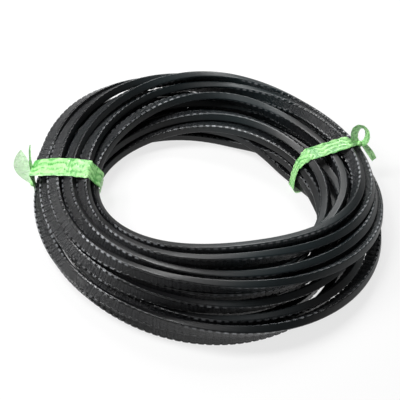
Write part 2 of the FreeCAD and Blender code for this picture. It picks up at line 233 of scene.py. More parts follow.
def wanted_layout(wound):
    """Where each point would lie in the photographed bundle, in millimetres, and its roll."""
    azimuth, arm, level = wound.T
    halves = (azimuth - RIGHT_AZIMUTH) / math.pi
    u = 2 * (arm - INNER_ARM) / (OUTER_ARM - INNER_ARM) - 1
    v = 2 * (level - FIRST_LEVEL) / (TOP_LEVEL - FIRST_LEVEL) - 1
    loose = 1 - tie_nearness(azimuth)
    u = np.clip(u + WANDER * loose * slow_wander(halves, IN_AND_OUT), -1, 1)
    v = np.clip(v + WANDER * loose * slow_wander(halves, UP_AND_DOWN), -1, 1)
    stagger = STAGGER * loose * np.sin(azimuth)
    u = u * (1 - np.abs(stagger)) + stagger * v
    u, v = turn_square(u, v, -twist_at(azimuth))
    low_in, high_in, low_out, high_out, rise_in, rise_out = round_the_bundle(azimuth).T
    up, out = (v + 1) / 2, (u + 1) / 2
    inside = low_in + (high_in - low_in) * up + SECTION_MARGIN
    outside = low_out + (high_out - low_out) * up - SECTION_MARGIN
    radius = inside + (outside - inside) * out
    height = rise_in + (rise_out - rise_in) * out
    rise = SECTION_MARGIN - LESS_MARGIN + (height - 2 * SECTION_MARGIN + 2 * LESS_MARGIN) * up
    # The mouth points outward at 0 degrees, down at -90 and inward at -180.
    inner_roll = -45 * (1 + np.cos(azimuth - math.radians(270)))
    outer_roll = -90 - 90 * np.cos(azimuth)
    roll = inner_roll * (1 - out) + outer_roll * out
    roll = roll + ROLL_WANDER * loose * slow_wander(halves, ROLLING)
    return radius, rise, np.radians(roll)


def smooth_along(values):
    """Moves each value towards the line through its neighbours, without shrinking the loops."""
    bend = np.zeros_like(values)
    bend[1:-1] = (values[:-2] + values[2:]) / 2 - values[1:-1]
    stiff = np.zeros_like(values)
    stiff[1:-1] = (bend[:-2] + bend[2:]) / 2 - bend[1:-1]
    return values - SMOOTHING * stiff


def lever(cosine, sine, push_r, push_z):
    """Where a push meets a section, from its middle: at a corner, or spread over a face it meets flat."""
    deep = HALF_DEEP * np.clip(FLAT_CONTACT * (cosine * push_r + sine * push_z), -1, 1)
    wide = HALF_WIDE * np.clip(FLAT_CONTACT * (cosine * push_z - sine * push_r), -1, 1)
    return -(deep * cosine - wide * sine), -(deep * sine + wide * cosine)


def small_turn(turn_by):
    """The turn that a push at a lever gives a section, kept small."""
    return np.clip(turn_by / TURN_RESISTANCE, -MOST_TURN, MOST_TURN)


def press_apart(radius, rise, roll, one, two):
    """The moves and turns that part each pair of sections that overlap, found on the four face directions."""
    moves = np.zeros((4, len(radius)))
    cosine, sine = np.cos(roll), np.sin(roll)
    near = np.hypot(radius[one] - radius[two], rise[one] - rise[two]) < 2 * math.hypot(HALF_DEEP, HALF_WIDE)
    i, j = one[near], two[near]
    dr, dz = radius[i] - radius[j], rise[i] - rise[j]
    same, cross = np.abs(np.cos(roll[i] - roll[j])), np.abs(np.sin(roll[i] - roll[j]))
    reach_deep = HALF_DEEP + HALF_DEEP * same + HALF_WIDE * cross + LOOSE_GAP
    reach_wide = HALF_WIDE + HALF_DEEP * cross + HALF_WIDE * same + LOOSE_GAP
    least = np.full(len(i), np.inf)
    push_r, push_z = np.zeros(len(i)), np.zeros(len(i))
    for k in (i, j):
        for reach, ar, az in ((reach_deep, cosine[k], sine[k]), (reach_wide, -sine[k], cosine[k])):
            apart = dr * ar + dz * az
            depth = reach - np.abs(apart)
            side = np.where(apart < 0, -1.0, 1.0)
            better = depth < least
            least = np.where(better, depth, least)
            push_r = np.where(better, side * ar, push_r)
            push_z = np.where(better, side * az, push_z)
    hit = least > 0
    i, j, p = i[hit], j[hit], least[hit] / 2
    push_r, push_z = push_r[hit], push_z[hit]
    for k, sign in ((i, 1), (j, -1)):
        arm_r, arm_z = lever(cosine[k], sine[k], sign * push_r, sign * push_z)
        np.add.at(moves[0], k, sign * push_r * p)
        np.add.at(moves[1], k, sign * push_z * p)
        np.add.at(moves[2], k, sign * (arm_r * push_z - arm_z * push_r) * p)
        np.add.at(moves[3], k, 1)
    return moves[:3] * PUSH / np.maximum(moves[3], PUSH)


def close_gaps(azimuth, radius, rise, planes):
    """Draws strands together where the bundle would show a gap right through from the front and above."""
    slope = math.sqrt(0.5)
    seen_at = slope * (radius * np.sin(azimuth) + rise)
    move = np.zeros_like(rise)
    for plane in planes:
        order = plane[np.argsort(seen_at[plane])]
        wide = GAP_SHARE * np.maximum(np.diff(seen_at[order]) - MOST_SPACING, 0)
        move[order[1:]] -= wide
        move[order[:-1]] += wide
    return slope * move * np.sin(azimuth), slope * move * np.abs(np.sin(azimuth))


def settle(wound):
    """Presses the sections apart in each plane through the axis, lets them down and keeps them smooth."""
    azimuth = wound[:, 0]
    aim_radius, aim_rise, aim_roll = wanted_layout(wound)
    radius, rise, roll = aim_radius.copy(), aim_rise.copy(), aim_roll.copy()
    count, turn = len(azimuth), 2 * POINTS_PER_HALF
    one, two = np.array([(i, j) for i in range(count) for j in range(i + turn, count, turn)]).T
    pull = LOOSE_PULL + TIE_PULL * tie_nearness(azimuth)
    planes = [np.arange(k, count, turn) for k in range(turn)]
    for _ in range(SETTLE_STEPS):
        closer_r, closer_z = close_gaps(azimuth, radius, rise, planes)
        radius += closer_r
        rise += closer_z
        radius += pull * (aim_radius - radius)
        rise += pull * (aim_rise - rise) - DROP
        roll += ROLL_PULL * (aim_roll - roll)
        for _ in range(PRESSES_IN_STEP):
            move_r, move_z, turn_by = press_apart(radius, rise, roll, one, two)
            radius += move_r
            rise += move_z
            roll += small_turn(turn_by)
        cosine, sine = np.cos(roll), np.sin(roll)
        reach = HALF_DEEP * np.abs(sine) + HALF_WIDE * np.abs(cosine)
        sunk = np.maximum(reach - rise, 0)
        rise += sunk
        roll += small_turn(sunk * lever(cosine, sine, 0.0, 1.0)[0])
        radius = smooth_along(radius)
        rise = smooth_along(rise)
        roll = smooth_along(roll)
    return radius * MM, rise * MM, roll


def in_frame(azimuth, radius, rise):
    """The point of the row frame at an azimuth, a distance from the coil's axis and a height."""
    return Vector((AXIS.x + radius * math.cos(azimuth), AXIS.y + radius * math.sin(azimuth), rise))


def nurbs_line(points):
    """The points of a smooth NURBS line with these control points, and its length at each."""
    curve = bpy.data.curves.new("strip_route", "CURVE")
    curve.dimensions = "3D"
    spline = curve.splines.new("NURBS")
    spline.points.add(len(points) - 1)
    for place, point in zip(spline.points, points, strict=True):
        place.co = (*point, 1)
    spline.order_u = 3
    spline.use_endpoint_u = True
    spline.resolution_u = 8
    route = bpy.data.objects.new("strip_route", curve)
    bpy.context.scene.collection.objects.link(route)
    mesh = bpy.data.meshes.new_from_object(route)
    line = np.array([vertex.co for vertex in mesh.vertices])
    bpy.data.objects.remove(route)
    bpy.data.curves.remove(curve)
    bpy.data.meshes.remove(mesh)
    return line, running_length(line)


# The strip's mesh

BLOCK = 0.0083
GROOVE_HALF = 0.22
GROOVE_DEEP = 0.0007
CORNER = 0.0006
# The outline's points past this share of the groove also sink back from the mouth.
RIM_SHARE = 0.7
SHARP_TURN = math.radians(50)


def cover_outline():
    """The U's outline as (across, deep, share of the groove), from one end of the back round both legs."""
    half, deep = STRIP_WIDTH / 2, STRIP_DEPTH
    inset = BACK_RADIUS * (1 - math.sqrt(0.5))
    slot = half - LEG_WALL
    leg = [(half - BACK_RADIUS, 0, 0.0), (half - inset, inset, 0.1), (half, BACK_RADIUS, 0.2)]
    leg += [(half, deep - CORNER, 0.9), (half - CORNER, deep, 1.0), (MOUTH_GAP / 2, deep, 0.8)]
    leg += [(slot, deep - LIP_TAPER, 0.0), (slot, BACK_WALL, 0.0)]
    other = [(-across, deep_at, share) for across, deep_at, share in reversed(leg)]
    return leg + other


def outline_points():
    """The outline without its shares."""
    return np.array([(across, deep) for across, deep, _ in cover_outline()])


def sharp_corners():
    """Marks the outline's corners that turn sharply."""
    points = outline_points()
    before = points - np.roll(points, 1, axis=0)
    after = np.roll(points, -1, axis=0) - points
    turn = np.arctan2(np.cross(before, after), (before * after).sum(axis=1))
    return np.abs(turn) > SHARP_TURN


def ring_lengths(total):
    """Where the rings stand along the strip: three at each groove between two blocks."""
    starts = np.arange(BLOCK, total - BLOCK / 2, BLOCK)
    rings = np.concatenate(([0.0], *((s - GROOVE_HALF * BLOCK, s, s + GROOVE_HALF * BLOCK) for s in starts)))
    groove = np.concatenate(([0.0], *((0.0, 1.0, 0.0) for _ in starts)))
    return np.append(rings, total), np.append(groove, 0.0)


def strip_mesh(line, lengths, roll_at, name):
    """Sweeps the outline along the line. The roll is the mouth's turn up from pointing outward."""

    def line_at(length):
        return np.stack([np.interp(length, lengths, line[:, axis]) for axis in range(3)], axis=1)

    outline = cover_outline()
    rings, groove = ring_lengths(lengths[-1])
    middle = line_at(rings)
    along = unit(line_at(rings + BLOCK / 2) - line_at(rings - BLOCK / 2))
    outward = middle - np.array([AXIS.x, AXIS.y, 0])
    outward[:, 2] = 0
    outward = unit(outward)
    roll = roll_at(rings)[:, None]
    mouth = outward * np.cos(roll) + np.array([0, 0, 1.0]) * np.sin(roll)
    mouth = unit(mouth - along * (mouth * along).sum(axis=1)[:, None])
    across = np.cross(along, mouth)
    places = []
    for side, deep, share in outline:
        sunk = GROOVE_DEEP * share * groove[:, None]
        place_across = across * (side - math.copysign(1, side) * np.minimum(sunk, abs(side)))
        places.append(middle + place_across + mouth * (deep - STRIP_DEPTH / 2 - sunk * (share > RIM_SHARE)))
    vertices = np.stack(places, axis=1)
    ring_count, around = vertices.shape[:2]
    mesh = bpy.data.meshes.new(name)
    mesh.from_pydata(vertices.reshape(-1, 3).tolist(), [], tube_faces(ring_count, around))
    mark_strip(mesh, ring_count, around, rings)
    return mesh, middle


def tube_faces(ring_count, around):
    """The faces of the whole strip: its sides, then its first and its last cut end."""
    ring, side = np.meshgrid(np.arange(ring_count - 1), np.arange(around), indexing="ij")
    here, ahead = ring * around, (ring + 1) * around
    after = (side + 1) % around
    sides = np.stack([here + side, here + after, ahead + after, ahead + side], axis=-1).reshape(-1, 4)
    last = (ring_count - 1) * around
    first_end = [list(reversed(face)) for face in cap_faces(around)]
    last_end = [[last + k for k in face] for face in cap_faces(around)]
    return sides.tolist() + first_end + last_end


def cap_faces(around):
    """The four-sided faces that close a cut end, from leg to leg over the U."""
    half = around // 2
    back = [(0, around - 1, around - 2, 1), (1, around - 2, around - 3, 2)]
    leg = [(2, 3, 6, 7), (3, 4, 5, 6)]
    leg += [tuple(around - 1 - k for k in reversed(face)) for face in leg]
    return back + leg + [(2, half - 1, half, around - 3)]


def mark_strip(mesh, ring_count, around, rings):
    """Gives the mesh its map, girth across and length along, and its sharp edges."""
    points = outline_points()
    girth = running_length(np.vstack((points, points[:1])))
    corners = np.zeros(len(mesh.loops), int)
    mesh.loops.foreach_get("vertex_index", corners)
    tube_loops = 4 * (ring_count - 1) * around
    side_of = (np.arange(tube_loops) // 4) % around
    at = corners[:tube_loops] % around
    uv = np.zeros((len(mesh.loops), 2))
    uv[:tube_loops, 0] = np.where((side_of == around - 1) & (at == 0), girth[-1], girth[at])
    uv[:tube_loops, 1] = rings[corners[:tube_loops] // around]
    layer = mesh.uv_layers.new(name="strip")
    layer.data.foreach_set("uv", uv.ravel())
    sharp = sharp_corners()
    ends = np.zeros(2 * len(mesh.edges), int)
    mesh.edges.foreach_get("vertices", ends)
    first, second = ends[::2], ends[1::2]
    lengthwise = (first % around == second % around) & sharp[first % around]
    at_end = (first < around) & (second < around)
    at_end |= (first >= (ring_count - 1) * around) & (second >= (ring_count - 1) * around)
    mesh.edges.foreach_set("use_edge_sharp", lengthwise | at_end)
    mesh.polygons.foreach_set("use_smooth", np.ones(len(mesh.polygons), bool))
    mesh.update()


# Materials


def new_material(name):
    """A node material with its Principled shader."""
    material = bpy.data.materials.new(name)
    material.use_nodes = True
    return material, material.node_tree, material.node_tree.nodes["Principled BSDF"]


def math_node(tree, operation, first, second=None):
    """A Math node. Each input is a number or a socket."""
    node = tree.nodes.new("ShaderNodeMath")
    node.operation = operation
    for socket, value in zip(node.inputs, (first, second)):
        if value is None:
            continue
        if hasattr(value, "links"):
            tree.links.new(value, socket)
        else:
            socket.default_value = value
    return node.outputs[0]


def times(tree, first, second):
    """Two values multiplied."""
    return math_node(tree, "MULTIPLY", first, second)


def plus(tree, first, second):
    """Two values added."""
    return math_node(tree, "ADD", first, second)


def distance_from(tree, value, middle):
    """How far a value lies from a middle, either way."""
    return math_node(tree, "ABSOLUTE", math_node(tree, "SUBTRACT", value, middle))


def noise_node(tree, vector, scale, detail=3.0, rough=0.5):
    """A Noise texture's value at a scale per metre."""
    node = tree.nodes.new("ShaderNodeTexNoise")
    node.inputs["Scale"].default_value = scale
    node.inputs["Detail"].default_value = detail
    node.inputs["Roughness"].default_value = rough
    tree.links.new(vector, node.inputs["Vector"])
    return node.outputs["Fac"]


def range_node(tree, value, low, high, to_low, to_high):
    """Maps a value from one range to another, with ends held."""
    node = tree.nodes.new("ShaderNodeMapRange")
    for socket, number in zip(("From Min", "From Max", "To Min", "To Max"), (low, high, to_low, to_high)):
        node.inputs[socket].default_value = number
    tree.links.new(value, node.inputs["Value"])
    return node.outputs["Result"]


def bump_node(tree, height, distance, strength, under=None):
    """A Bump node over another normal, if there is one."""
    node = tree.nodes.new("ShaderNodeBump")
    node.inputs["Distance"].default_value = distance
    node.inputs["Strength"].default_value = strength
    tree.links.new(height, node.inputs["Height"])
    if under is not None:
        tree.links.new(under, node.inputs["Normal"])
    return node.outputs["Normal"]


def colour_mix(tree, share, first, second):
    """A colour between two others. Each is three numbers or a socket."""
    node = tree.nodes.new("ShaderNodeMix")
    node.data_type = "RGBA"
    tree.links.new(share, node.inputs["Factor"])
    for key, colour in (("A", first), ("B", second)):
        if hasattr(colour, "links"):
            tree.links.new(colour, node.inputs[key])
        else:
            node.inputs[key].default_value = (*colour, 1)
    return node.outputs["Result"]


# The rubber: four fine ribs to each block, smooth margins along the wide faces, and a painted highlight:
# block corners and rib crests lightened in colour
RIB_PITCH = BLOCK / 4
MARGIN_STARTS, MARGIN_ENDS = 0.0018, 0.0010
CORNER_FULL, CORNER_REACH = 0.0004, 0.0017
BACK_EDGE = 0.0008
# Height of each layer of relief
FINE_RELIEF, GRAIN_RELIEF, RIB_RELIEF, CORNER_RELIEF = 0.00008, 0.00120, 0.00060, 0.00045
LEG_ROUGHER, BACK_ROUGHER, CORNER_SMOOTHER = 0.06, 0.18, 0.08
BLACK = (0.0038, 0.0040, 0.0046)
# Painted reflection: a teal tint on the black rubber
TEAL_REFLECTION_BLACK = (0.0040, 0.0110, 0.0130)
# Painted highlight: the lighter colour of the rib crests, as if they catch the light
RIB_CREST_SHEEN = (0.024, 0.025, 0.028)
# Painted highlight: the colour that block corners are lightened to, where light would glint on them
CORNER_GLINT_COLOUR = (0.27, 0.28, 0.295)


def face_masks(tree, girth):
    """Masks of the wide faces within their margins, of the corners beside them, and of the back."""
    run = running_length(outline_points())
    half = (run[3] - run[2]) / 2
    legs, corners = [], []
    for start in (2, 12):
        off = distance_from(tree, girth, (run[start] + run[start + 1]) / 2)
        legs.append(range_node(tree, off, half - MARGIN_STARTS, half - MARGIN_ENDS, 1.0, 0.0))
        off_corner = distance_from(tree, off, half)
        corners.append(range_node(tree, off_corner, CORNER_FULL, CORNER_REACH, 1.0, 0.0))
    back = range_node(tree, girth, run[-1], run[-1] + BACK_EDGE, 0.0, 1.0)
    return math_node(tree, "MAXIMUM", *legs), math_node(tree, "MAXIMUM", *corners), back


def block_marks(tree, along):
    """The ribs' height, and where the middle of a block shows, both from the length along the strip."""

    def swing(rate):
        return math_node(tree, "SINE", times(tree, along, rate))

    wave = times(tree, plus(tree, swing(math.tau / RIB_PITCH), 1.0), 0.5)
    ladder = range_node(tree, math_node(tree, "ABSOLUTE", swing(math.tau / BLOCK)), 0.30, 0.60, 0.0, 1.0)
    block = range_node(tree, math_node(tree, "ABSOLUTE", swing(math.pi / BLOCK)), 0.45, 0.85, 0.0, 1.0)
    return plus(tree, times(tree, wave, 0.4), times(tree, ladder, 0.6)), block


def rubber_material():
    """Near-black rubber: ribs and grain on the wide faces, smooth margins and back, painted highlights on the
    block corners and rib crests, and a painted teal reflection in patches.
    """
    material, tree, shader = new_material("strip_rubber")
    uv = tree.nodes.new("ShaderNodeUVMap")
    uv.uv_map = "strip"
    split = tree.nodes.new("ShaderNodeSeparateXYZ")
    tree.links.new(uv.outputs["UV"], split.inputs["Vector"])
    place = tree.nodes.new("ShaderNodeTexCoord").outputs["Object"]
    on_leg, at_corner, on_back = face_masks(tree, split.outputs["X"])
    wave, block = block_marks(tree, split.outputs["Y"])
    dots = times(tree, block, at_corner)
    patchy = range_node(tree, noise_node(tree, place, 28, 2), 0.38, 0.62, 0.25, 1.0)
    ribs = times(tree, times(tree, wave, on_leg), patchy)
    grain = times(tree, noise_node(tree, place, 560, 3, 0.65), on_leg)

    normal = bump_node(tree, noise_node(tree, place, 420, 2), FINE_RELIEF, 0.6)
    normal = bump_node(tree, grain, GRAIN_RELIEF, 1.0, normal)
    normal = bump_node(tree, ribs, RIB_RELIEF, 1.0, normal)
    normal = bump_node(tree, dots, CORNER_RELIEF, 1.0, normal)
    tree.links.new(normal, shader.inputs["Normal"])

    rough = range_node(tree, noise_node(tree, place, 9, 3), 0.35, 0.65, 0.20, 0.32)
    rough = plus(tree, rough, times(tree, on_leg, LEG_ROUGHER))
    rough = plus(tree, rough, times(tree, on_back, BACK_ROUGHER))
    rough = math_node(tree, "SUBTRACT", rough, times(tree, dots, CORNER_SMOOTHER))
    tree.links.new(rough, shader.inputs["Roughness"])

    # Painted reflection: a teal tint laid in patches placed by noise
    teal_reflection_patch = range_node(tree, noise_node(tree, place, 6, 1), 0.52, 0.70, 0, 1)
    tint = colour_mix(tree, teal_reflection_patch, BLACK, TEAL_REFLECTION_BLACK)
    # Painted highlight: rib crests lightened in colour
    tint = colour_mix(tree, times(tree, ribs, 0.85), tint, RIB_CREST_SHEEN)
    # Painted highlight: block corners lightened in colour where light would glint, broken up by noise
    painted_glint = times(tree, dots, range_node(tree, noise_node(tree, place, 13, 3), 0.48, 0.64, 0.03, 1))
    tint = colour_mix(tree, painted_glint, tint, CORNER_GLINT_COLOUR)
    tree.links.new(tint, shader.inputs["Base Color"])
    shader.inputs["Specular IOR Level"].default_value = 0.4
    return material


def film_material(name, colour, crease_shade_colour, alpha):
    """Thin green film: paler where flat, with painted shade deeper in its folds, a tone that deepens in
    random patches, and a plastic sheen.
    """
    material, tree, shader = new_material(name)
    place = tree.nodes.new("ShaderNodeTexCoord").outputs["Object"]
    fold = tree.nodes.new("ShaderNodeAttribute")
    fold.attribute_name = "fold"
    # Painted shade: the film's colour is darkened where it lies deep in a fold
    crease_shade = range_node(tree, fold.outputs["Fac"], 0.35, 0.95, 0, 1)
    patches = range_node(tree, noise_node(tree, place, 150, 4, 0.6), 0.45, 0.70, 0, 0.7)
    tint = colour_mix(tree, math_node(tree, "MAXIMUM", crease_shade, patches), colour, crease_shade_colour)
    tree.links.new(tint, shader.inputs["Base Color"])
    dents = bump_node(tree, noise_node(tree, place, 520, 3, 0.6), 0.0004, 0.7)
    tree.links.new(dents, shader.inputs["Normal"])
    rough = range_node(tree, noise_node(tree, place, 90, 2), 0.3, 0.7, 0.22, 0.45)
    tree.links.new(rough, shader.inputs["Roughness"])
    shader.inputs["Alpha"].default_value = alpha
    return material


# The two film ties

FILM_GAP = 0.0006
# The lowest that a band's line, a band's film and a loose end's film come
LINE_LOWEST, BAND_LOWEST, END_LOWEST = 0.0002, 0.00015, 0.0003
BAND_STEPS = 220
BAND_LINES = 21
RIBBON_LINES = 17
# A band also goes round the strands this far beside its edges.
BESIDE_BAND = 0.002
# A band keeps little of its width at its knot: it is drawn in by this share.
DRAWN_IN = 0.72
# Noise along a band runs at this many units to a metre.
FOLD_SCALE = 10
BAND_FOLDS, BAND_FOLD_DEPTH = 3.0, 0.0015
RIM_HEIGHT, RIM_PLACE, RIM_SPREAD = 0.0006, 0.86, 0.09
RAGGED_BY = 0.0008
# Sizes of each knot: outward, sideways and up, as half widths
LEFT_KNOT = (0.0036, 0.0038, 0.0046)
RIGHT_KNOT = (0.0032, 0.0036, 0.0040)
# How far each loose end reaches from its knot: outward, sideways, and up or down, with its width
LEAF_OUT, LEAF_ASIDE, LEAF_UP, LEAF_WIDTH = 0.013, 0.016, 0.037, 0.0195
NARROW_ASIDE, NARROW_UP, NARROW_WIDTH = 0.004, 0.053, 0.0044
LOOP_HALF_WIDTH, LOOP_HALF_HEIGHT, LOOP_FILM = 0.0068, 0.0102, 0.0085
END_OUT, END_ASIDE, END_DOWN, END_WIDTH = 0.009, 0.0165, 0.0155, 0.0060


def hull_of(points):
    """The convex outline of flat points, counter-clockwise."""
    ordered = sorted(set(map(tuple, np.round(points, 6))))

    def chain(run):
        kept = []
        for p in run:
            while len(kept) > 1 and np.cross(np.subtract(kept[-1], kept[-2]), np.subtract(p, kept[-1])) <= 0:
                kept.pop()
            kept.append(p)
        return kept[:-1]

    return np.array(chain(ordered) + chain(ordered[::-1]))


def band_outline(strip, tie, half_width, level):
    """A tight line round the strands at a tie, with its outward normals. It starts at the knot's height."""
    places = np.array([vertex.co for vertex in strip.data.vertices])
    x, y = places[:, 0] - AXIS.x, places[:, 1] - AXIS.y
    radius = np.hypot(x, y)
    held = np.abs(turned_from(np.arctan2(y, x), tie)) * radius < half_width
    hull = hull_of(np.stack([radius[held], places[held, 2]], axis=1))
    angles = np.linspace(0, math.tau, 1440, endpoint=False)
    normals = np.stack([np.cos(angles), np.sin(angles)], axis=1)
    loop = hull[(normals @ hull.T).argmax(axis=1)] + FILM_GAP * normals
    loop[:, 1] = np.maximum(loop[:, 1], LINE_LOWEST)
    inner_side = normals[:, 0] < 0.3
    start = np.argmin(np.abs(loop[:, 1] - level) + 10 * inner_side)
    loop, normals = np.roll(loop, -start, axis=0), np.roll(normals, -start, axis=0)
    closed = np.vstack((loop, loop[:1]))
    run = running_length(closed)
    at = np.linspace(0, run[-1], BAND_STEPS + 1)
    line = np.stack([np.interp(at, run, closed[:, k]) for k in range(2)], axis=1)
    turned = np.vstack((normals, normals[:1]))
    faced = unit(np.stack([np.interp(at, run, turned[:, k]) for k in range(2)], axis=1))
    return line, faced, run[-1]


def ridge(x):
    """A row of narrow creases, one to each whole number."""
    return 1 - np.abs(2 * (x % 1.0) - 1) ** 0.7


def film_mesh(name, grid, folds=None):
    """A mesh through a grid of points, row by row. folds marks its creases, from 0 to 1, for the painted
    shade in them.
    """
    rows, columns = grid.shape[:2]
    i, j = np.meshgrid(np.arange(rows - 1), np.arange(columns - 1), indexing="ij")
    corner = i * columns + j
    faces = np.stack([corner, corner + 1, corner + columns + 1, corner + columns], axis=-1).reshape(-1, 4)
    mesh = bpy.data.meshes.new(name)
    mesh.from_pydata(grid.reshape(-1, 3).tolist(), [], faces.tolist())
    mesh.polygons.foreach_set("use_smooth", np.ones(len(mesh.polygons), bool))
    if folds is not None:
        marks = mesh.attributes.new("fold", "FLOAT", "POINT")
        marks.data.foreach_set("value", np.asarray(folds, float).ravel())
    return mesh


def fold_marks(height):
    """How deep in a fold each point of the film lies, from 0 on a ridge to 1 in a crease. It sets the painted
    shade in the folds.
    """
    low, high = np.percentile(height, (5, 90))
    return 1 - np.clip((height - low) / (high - low), 0, 1)


def crumple(along, across, seed, folds, depth):
    """The film's height off its line: long folds that wander, with small dents between them."""
    value = np.zeros((len(along), len(across)))
    for i, s in enumerate(along):
        for k, t in enumerate(across):
            wander = noise.noise(Vector((s * 9, 0.3 * t, seed)))
            crease = ridge(np.float64(t * folds / 2 + 0.9 * wander + 0.25 * seed))
            dents = noise.noise(Vector((s * 46, t * 2.2, seed + 5)))
            dents += 0.5 * noise.noise(Vector((s * 90, t * 5, seed)))
            value[i, k] = depth * (0.75 * crease * (0.6 + wander) + 0.55 * abs(dents))
    return value


def make_band(strip, name, node, tie, width, wall_width, drawn, level, seed, material):
    """A band of gathered film round the bundle, drawn narrow over a length each side of its knot."""
    line, faced, girth = band_outline(strip, tie, width / 2 + BESIDE_BAND, level)
    s = np.linspace(0, 1, BAND_STEPS + 1)
    t = np.linspace(-1, 1, BAND_LINES)
    to_knot = np.minimum(s, 1 - s) * girth
    inward = smooth_step((-faced[:, 0] - 0.5) / 0.4)
    wide = width + (wall_width - width) * inward
    wide = wide * (1 - DRAWN_IN * np.exp(-((to_knot / drawn) ** 2)))
    ragged = np.array([noise.noise(Vector((x * 14, 0, seed))) for x in s * girth * FOLD_SCALE])
    height = crumple(s * girth * FOLD_SCALE, t, seed, BAND_FOLDS, BAND_FOLD_DEPTH)
    marks = fold_marks(height)
    rim = RIM_HEIGHT * np.exp(-(((t - RIM_PLACE) / RIM_SPREAD) ** 2))[None]
    height = (height + rim) * smooth_step((1.02 - np.abs(t)) / 0.12)[None] + 0.0001
    height[-1], wide[-1] = height[0], wide[0]
    radius = line[:, :1] + faced[:, :1] * height
    rise = np.maximum(line[:, 1:] + faced[:, 1:] * height, BAND_LOWEST)
    edge = RAGGED_BY * (ragged - ragged[0] * (1 - 2 * np.abs(s - 0.5)))[:, None]
    side = t[None] * wide[:, None] / 2 + edge
    angle = tie + side / radius
    grid = np.stack([AXIS.x + radius * np.cos(angle), AXIS.y + radius * np.sin(angle), rise], axis=-1)
    band = add_piece(film_mesh(name, grid, marks), material, (node,), name)
    return line[0]


def knot_mesh(name, middle, outward, size, seed):
    """A tight film knot: a ball with creases that wind round it."""
    rings, around = 28, 40
    side, up = Vector((-outward.y, outward.x, 0)), Vector((0, 0, 1))
    grid = np.zeros((rings + 1, around + 1, 3))
    for i in range(rings + 1):
        for k in range(around + 1):
            lat, lon = math.pi * (i / rings - 0.5), math.tau * (k % around) / around
            way = Vector((math.cos(lat) * math.cos(lon), math.cos(lat) * math.sin(lon), math.sin(lat)))
            wound = 1.6 * way.z + 0.8 * noise.noise(way * 1.3 + Vector((seed, 0, 0)))
            crease = abs(math.sin(math.tau * wound + lon))
            swell = 0.80 + 0.20 * crease ** 0.6 + 0.10 * noise.noise(way * 4 + Vector((0, seed, 0)))
            reach = outward * way.x * size[0] + side * way.y * size[1] + up * way.z * size[2]
            grid[i, k] = middle + reach * swell
    mesh = film_mesh(name, grid)
    welded = bpy.data.objects.new("weld", mesh)
    weld = welded.modifiers.new("weld", "WELD")
    weld.merge_threshold = 0.00001
    bpy.context.scene.collection.objects.link(welded)
    whole = bpy.data.meshes.new_from_object(welded.evaluated_get(bpy.context.evaluated_depsgraph_get()))
    bpy.data.objects.remove(welded)
    whole.name = name
    return whole


def make_knot(name, node, tie, spot, size, seed, material):
    """The knot of a tie, where the band's line starts."""
    outward = Vector((math.cos(tie), math.sin(tie), 0))
    middle = in_frame(tie, spot[0] + size[0] * 0.55, spot[1])
    add_piece(knot_mesh(name, middle, outward, size, seed), material, (node,), name)
    return middle


def ribbon(name, node, line, sides, wide, cup, folds, depth, seed, material):
    """A loose end of film along a line. sides gives its width's direction, wide its width at each point."""
    line, sides, widths = np.array(line), unit(np.array(sides)), np.asarray(wide)
    face = unit(np.cross(np.gradient(line, axis=0), sides))
    t = np.linspace(-1, 1, RIBBON_LINES)
    s = np.linspace(0, 1, len(line))
    height = crumple(s * 4, t, seed, folds, depth)
    marks = fold_marks(height)
    height = height + cup * (t[None] ** 2) * widths[:, None]
    grid = (line[:, None] + sides[:, None] * (t[None, :, None] * widths[:, None, None] / 2)
            + face[:, None] * height[..., None])
    grid[..., 2] = np.maximum(grid[..., 2], END_LOWEST)
    piece = add_piece(film_mesh(name, grid, marks), material, (node,), name)


def tie_directions(tie):
    """A tie's outward and sideways directions."""
    outward = Vector((math.cos(tie), math.sin(tie), 0))
    return outward, Vector((-outward.y, outward.x, 0))


def make_left_tie(strip, film, thin):
    """The wide band at the left, its knot, the pale leaf-shaped end and the narrow end."""
    outward, side = tie_directions(LEFT_AZIMUTH)
    spot = make_band(strip, "left_band", "left_tie_band", LEFT_AZIMUTH, width=0.030, wall_width=0.024,
                     drawn=0.020, level=0.014, seed=2.0, material=film)
    knot = make_knot("left_knot", "left_tie_knot", LEFT_AZIMUTH, spot, LEFT_KNOT, 1.0, film)
    line, sides, wide = [], [], []
    for s in np.arange(36) / 35:
        reach = outward * (0.002 + LEAF_OUT * s + 0.004 * math.sin(math.pi * s))
        line.append(knot + reach - side * LEAF_ASIDE * s + Vector((0, 0, LEAF_UP * s)))
        sides.append(outward + side * 0.35 * math.cos(2.0 * s) - Vector((0, 0, 0.3)))
        swell = math.sin(math.pi * min(1, s * 1.02) ** 1.15) ** 0.8
        wide.append(0.0024 + LEAF_WIDTH * swell * (1 - 0.15 * s))
    ribbon("left_leaf", "left_tie_long_tail", line, sides, wide, cup=0.12, folds=2.4, depth=0.0014, seed=3.0,
           material=thin)
    line, sides, wide = [], [], []
    for s in np.arange(40) / 39:
        reach = outward * (0.0005 + 0.0015 * math.sin(3 * s) - 0.002 * s)
        line.append(knot + reach - side * (0.0015 + NARROW_ASIDE * s) + Vector((0, 0, 0.004 + NARROW_UP * s)))
        sides.append(side * math.cos(2.4 * s) + outward * math.sin(2.4 * s))
        wide.append(NARROW_WIDTH * (1 - 0.50 * s) + 0.0004 * math.sin(17 * s))
    ribbon("left_narrow_end", "left_tie_short_tail", line, sides, wide, cup=0.35, folds=1.2, depth=0.0005,
           seed=6.0, material=film)


